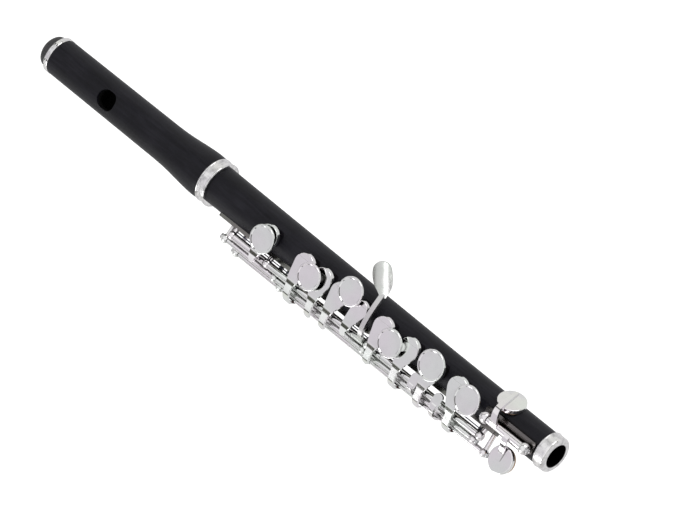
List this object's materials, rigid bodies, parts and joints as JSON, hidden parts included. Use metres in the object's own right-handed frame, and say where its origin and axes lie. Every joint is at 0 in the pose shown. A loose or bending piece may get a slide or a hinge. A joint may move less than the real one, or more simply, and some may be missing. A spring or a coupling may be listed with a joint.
{
  "type": "piccolo",
  "caption": "Wooden piccolo in two joints with silver-plated Boehm keywork: turning head on a tuning slide, adjustable stopper, hinged sprung keys with pads.",
  "frame": {"origin": "centre of the bore at the foot end's face", "axes": "+X along the tube from the crown to the foot end and out of it, +Z to the embouchure hole and finger keys, key rods on the player's side at -Y"},
  "size_m": [0.319, 0.046, 0.0324],
  "materials": {
    "blackwood": "oiled satin, near black",
    "silver": "polished silver plate",
    "steel": "bright drawn steel",
    "spring_steel": "blued",
    "nickel": "nickel plate",
    "cork": "matte cork",
    "pad_skin": "skin over felt",
    "felt": "felt"
  },
  "bodies": {
    "body": {"body_tube": "blackwood", "tenon_cork": "cork", "foot_ring": "silver", "left_hand_rib": "silver", "right_hand_rib": "silver", "thumb_rib": "silver", "d_sharp_rib": "silver", "left_hand_posts": "silver", "right_hand_posts": "silver", "thumb_posts": "silver", "d_sharp_posts": "silver", "trill_posts": "silver", "left_hand_steel": "steel", "right_hand_steel": "steel", "thumb_steel": "steel", "pivot_screws": "steel", "needle_springs": "spring_steel"},
    "socket": {"socket_liner": "nickel"},
    "head": {"head_tube": "blackwood", "crown_ring": "silver", "socket_ring": "silver"},
    "crown": {"crown": "blackwood"},
    "stopper": {"stopper_screw": "nickel", "stopper_cork": "cork", "stopper_nut": "nickel"},
    "c_key": {"c_key": "silver", "c_pad": "pad_skin"},
    "b_flat_key": {"b_flat_key": "silver", "b_flat_pad": "pad_skin", "b_flat_key_felt": "felt"},
    "a_key": {"a_key": "silver", "a_pad": "pad_skin"},
    "g_key": {"g_key": "silver", "g_pad": "pad_skin"},
    "lower_g_key": {"lower_g_key": "silver", "lower_g_pad": "pad_skin"},
    "g_sharp_key": {"g_sharp_key": "silver", "g_sharp_pad": "pad_skin"},
    "f_sharp_key": {"f_sharp_key": "silver", "f_sharp_pad": "pad_skin"},
    "f_key": {"f_key": "silver", "f_pad": "pad_skin", "f_key_felt": "felt"},
    "e_key": {"e_key": "silver", "e_pad": "pad_skin"},
    "d_key": {"d_key": "silver", "d_pad": "pad_skin", "d_key_felt": "felt"},
    "d_sharp_key": {"d_sharp_key": "silver", "d_sharp_pad": "pad_skin", "d_sharp_cork": "cork"},
    "d_trill_key": {"d_trill_key": "silver", "d_trill_pad": "pad_skin"},
    "d_sharp_trill_key": {"d_sharp_trill_key": "silver", "d_sharp_trill_pad": "pad_skin"},
    "thumb_b_key": {"thumb_b_key": "silver", "thumb_b_pad": "pad_skin"},
    "thumb_b_flat_lever": {"thumb_b_flat_lever": "silver"}
  },
  "joints": [
    {"name": "head_tuning_slide", "type": "slide", "parent": "body", "child": "socket", "axis": [-1, 0, 0], "range_m": [0, 0.008]},
    {"name": "head_turn", "type": "hinge", "parent": "socket", "child": "head", "pos_m": [-0.218, 0, 0], "axis": [1, 0, 0], "continuous": true},
    {"name": "crown_turn", "type": "hinge", "parent": "head", "child": "crown", "pos_m": [-0.315, 0, 0], "axis": [1, 0, 0], "range_deg": [-360, 360]},
    {"name": "stopper_slide", "type": "slide", "parent": "head", "child": "stopper", "axis": [1, 0, 0], "range_m": [-0.00069, 0.00069]},
    {"name": "c_press", "type": "hinge", "parent": "body", "child": "c_key", "pos_m": [-0.1763, -0.0126, 0.0046], "axis": [-1, 0, 0], "range_deg": [0, 8], "stiffness_Nm_per_rad": 0.006, "springref_deg": -28.65},
    {"name": "b_flat_press", "type": "hinge", "parent": "body", "child": "b_flat_key", "pos_m": [-0.1546, -0.0126, 0.0046], "axis": [-1, 0, 0], "range_deg": [0, 8], "stiffness_Nm_per_rad": 0.006, "springref_deg": -28.65},
    {"name": "a_press", "type": "hinge", "parent": "body", "child": "a_key", "pos_m": [-0.1385, -0.0126, 0.0046], "axis": [-1, 0, 0], "range_deg": [0, 8], "stiffness_Nm_per_rad": 0.006, "springref_deg": -28.65},
    {"name": "g_press", "type": "hinge", "parent": "body", "child": "g_key", "pos_m": [-0.1244, -0.0126, 0.0046], "axis": [-1, 0, 0], "range_deg": [0, 8], "stiffness_Nm_per_rad": 0.006, "springref_deg": -28.65},
    {"name": "lower_g_press", "type": "hinge", "parent": "body", "child": "lower_g_key", "pos_m": [-0.1144, -0.0126, 0.0046], "axis": [-1, 0, 0], "range_deg": [0, 8], "stiffness_Nm_per_rad": 0.006, "springref_deg": -28.65},
    {"name": "g_sharp_press", "type": "hinge", "parent": "body", "child": "g_sharp_key", "pos_m": [-0.1078, -0.0126, 0.0046], "axis": [-1, 0, 0], "range_deg": [0, 8], "stiffness_Nm_per_rad": 0.006, "springref_deg": -28.65},
    {"name": "f_sharp_press", "type": "hinge", "parent": "body", "child": "f_sharp_key", "pos_m": [-0.0973, -0.0126, 0.0046], "axis": [-1, 0, 0], "range_deg": [0, 8], "stiffness_Nm_per_rad": 0.006, "springref_deg": -28.65},
    {"name": "f_press", "type": "hinge", "parent": "body", "child": "f_key", "pos_m": [-0.0863, -0.0126, 0.0046], "axis": [-1, 0, 0], "range_deg": [0, 8], "stiffness_Nm_per_rad": 0.006, "springref_deg": -28.65},
    {"name": "e_press", "type": "hinge", "parent": "body", "child": "e_key", "pos_m": [-0.0696, -0.0126, 0.0046], "axis": [-1, 0, 0], "range_deg": [0, 8], "stiffness_Nm_per_rad": 0.006, "springref_deg": -28.65},
    {"name": "d_press", "type": "hinge", "parent": "body", "child": "d_key", "pos_m": [-0.0475, -0.0126, 0.0046], "axis": [-1, 0, 0], "range_deg": [0, 8], "stiffness_Nm_per_rad": 0.006, "springref_deg": -28.65},
    {"name": "d_sharp_press", "type": "hinge", "parent": "body", "child": "d_sharp_key", "pos_m": [-0.0206, -0.0032, 0.011], "axis": [1, 0, 0], "range_deg": [0, 9], "stiffness_Nm_per_rad": 0.006, "springref_deg": -28.65},
    {"name": "d_trill_press", "type": "hinge", "parent": "body", "child": "d_trill_key", "pos_m": [-0.1138, -0.0162, 0.0022], "axis": [-1, 0, 0], "range_deg": [0, 8], "stiffness_Nm_per_rad": 0.006, "springref_deg": -28.65},
    {"name": "d_sharp_trill_press", "type": "hinge", "parent": "body", "child": "d_sharp_trill_key", "pos_m": [-0.1073, -0.0186, -0.0006], "axis": [-1, 0, 0], "range_deg": [0, 8], "stiffness_Nm_per_rad": 0.006, "springref_deg": -28.65},
    {"name": "thumb_b_press", "type": "hinge", "parent": "body", "child": "thumb_b_key", "pos_m": [-0.1542, -0.0085, -0.0095], "axis": [1, 0, 0], "range_deg": [0, 8], "stiffness_Nm_per_rad": 0.006, "springref_deg": -28.65},
    {"name": "thumb_b_flat_press", "type": "hinge", "parent": "body", "child": "thumb_b_flat_lever", "pos_m": [-0.1409, -0.0085, -0.0095], "axis": [1, 0, 0], "range_deg": [0, 8], "stiffness_Nm_per_rad": 0.006, "springref_deg": -28.65}
  ],
  "couplings": [
    {"joint": "crown_turn", "follows": "stopper_slide", "rad_per_m": 8976},
    {"joint": "b_flat_press", "follows": "a_press", "ratio": 1},
    {"joint": "lower_g_press", "follows": "g_press", "ratio": 1},
    {"joint": "f_sharp_press", "follows": "f_press", "ratio": 1}
  ]
}
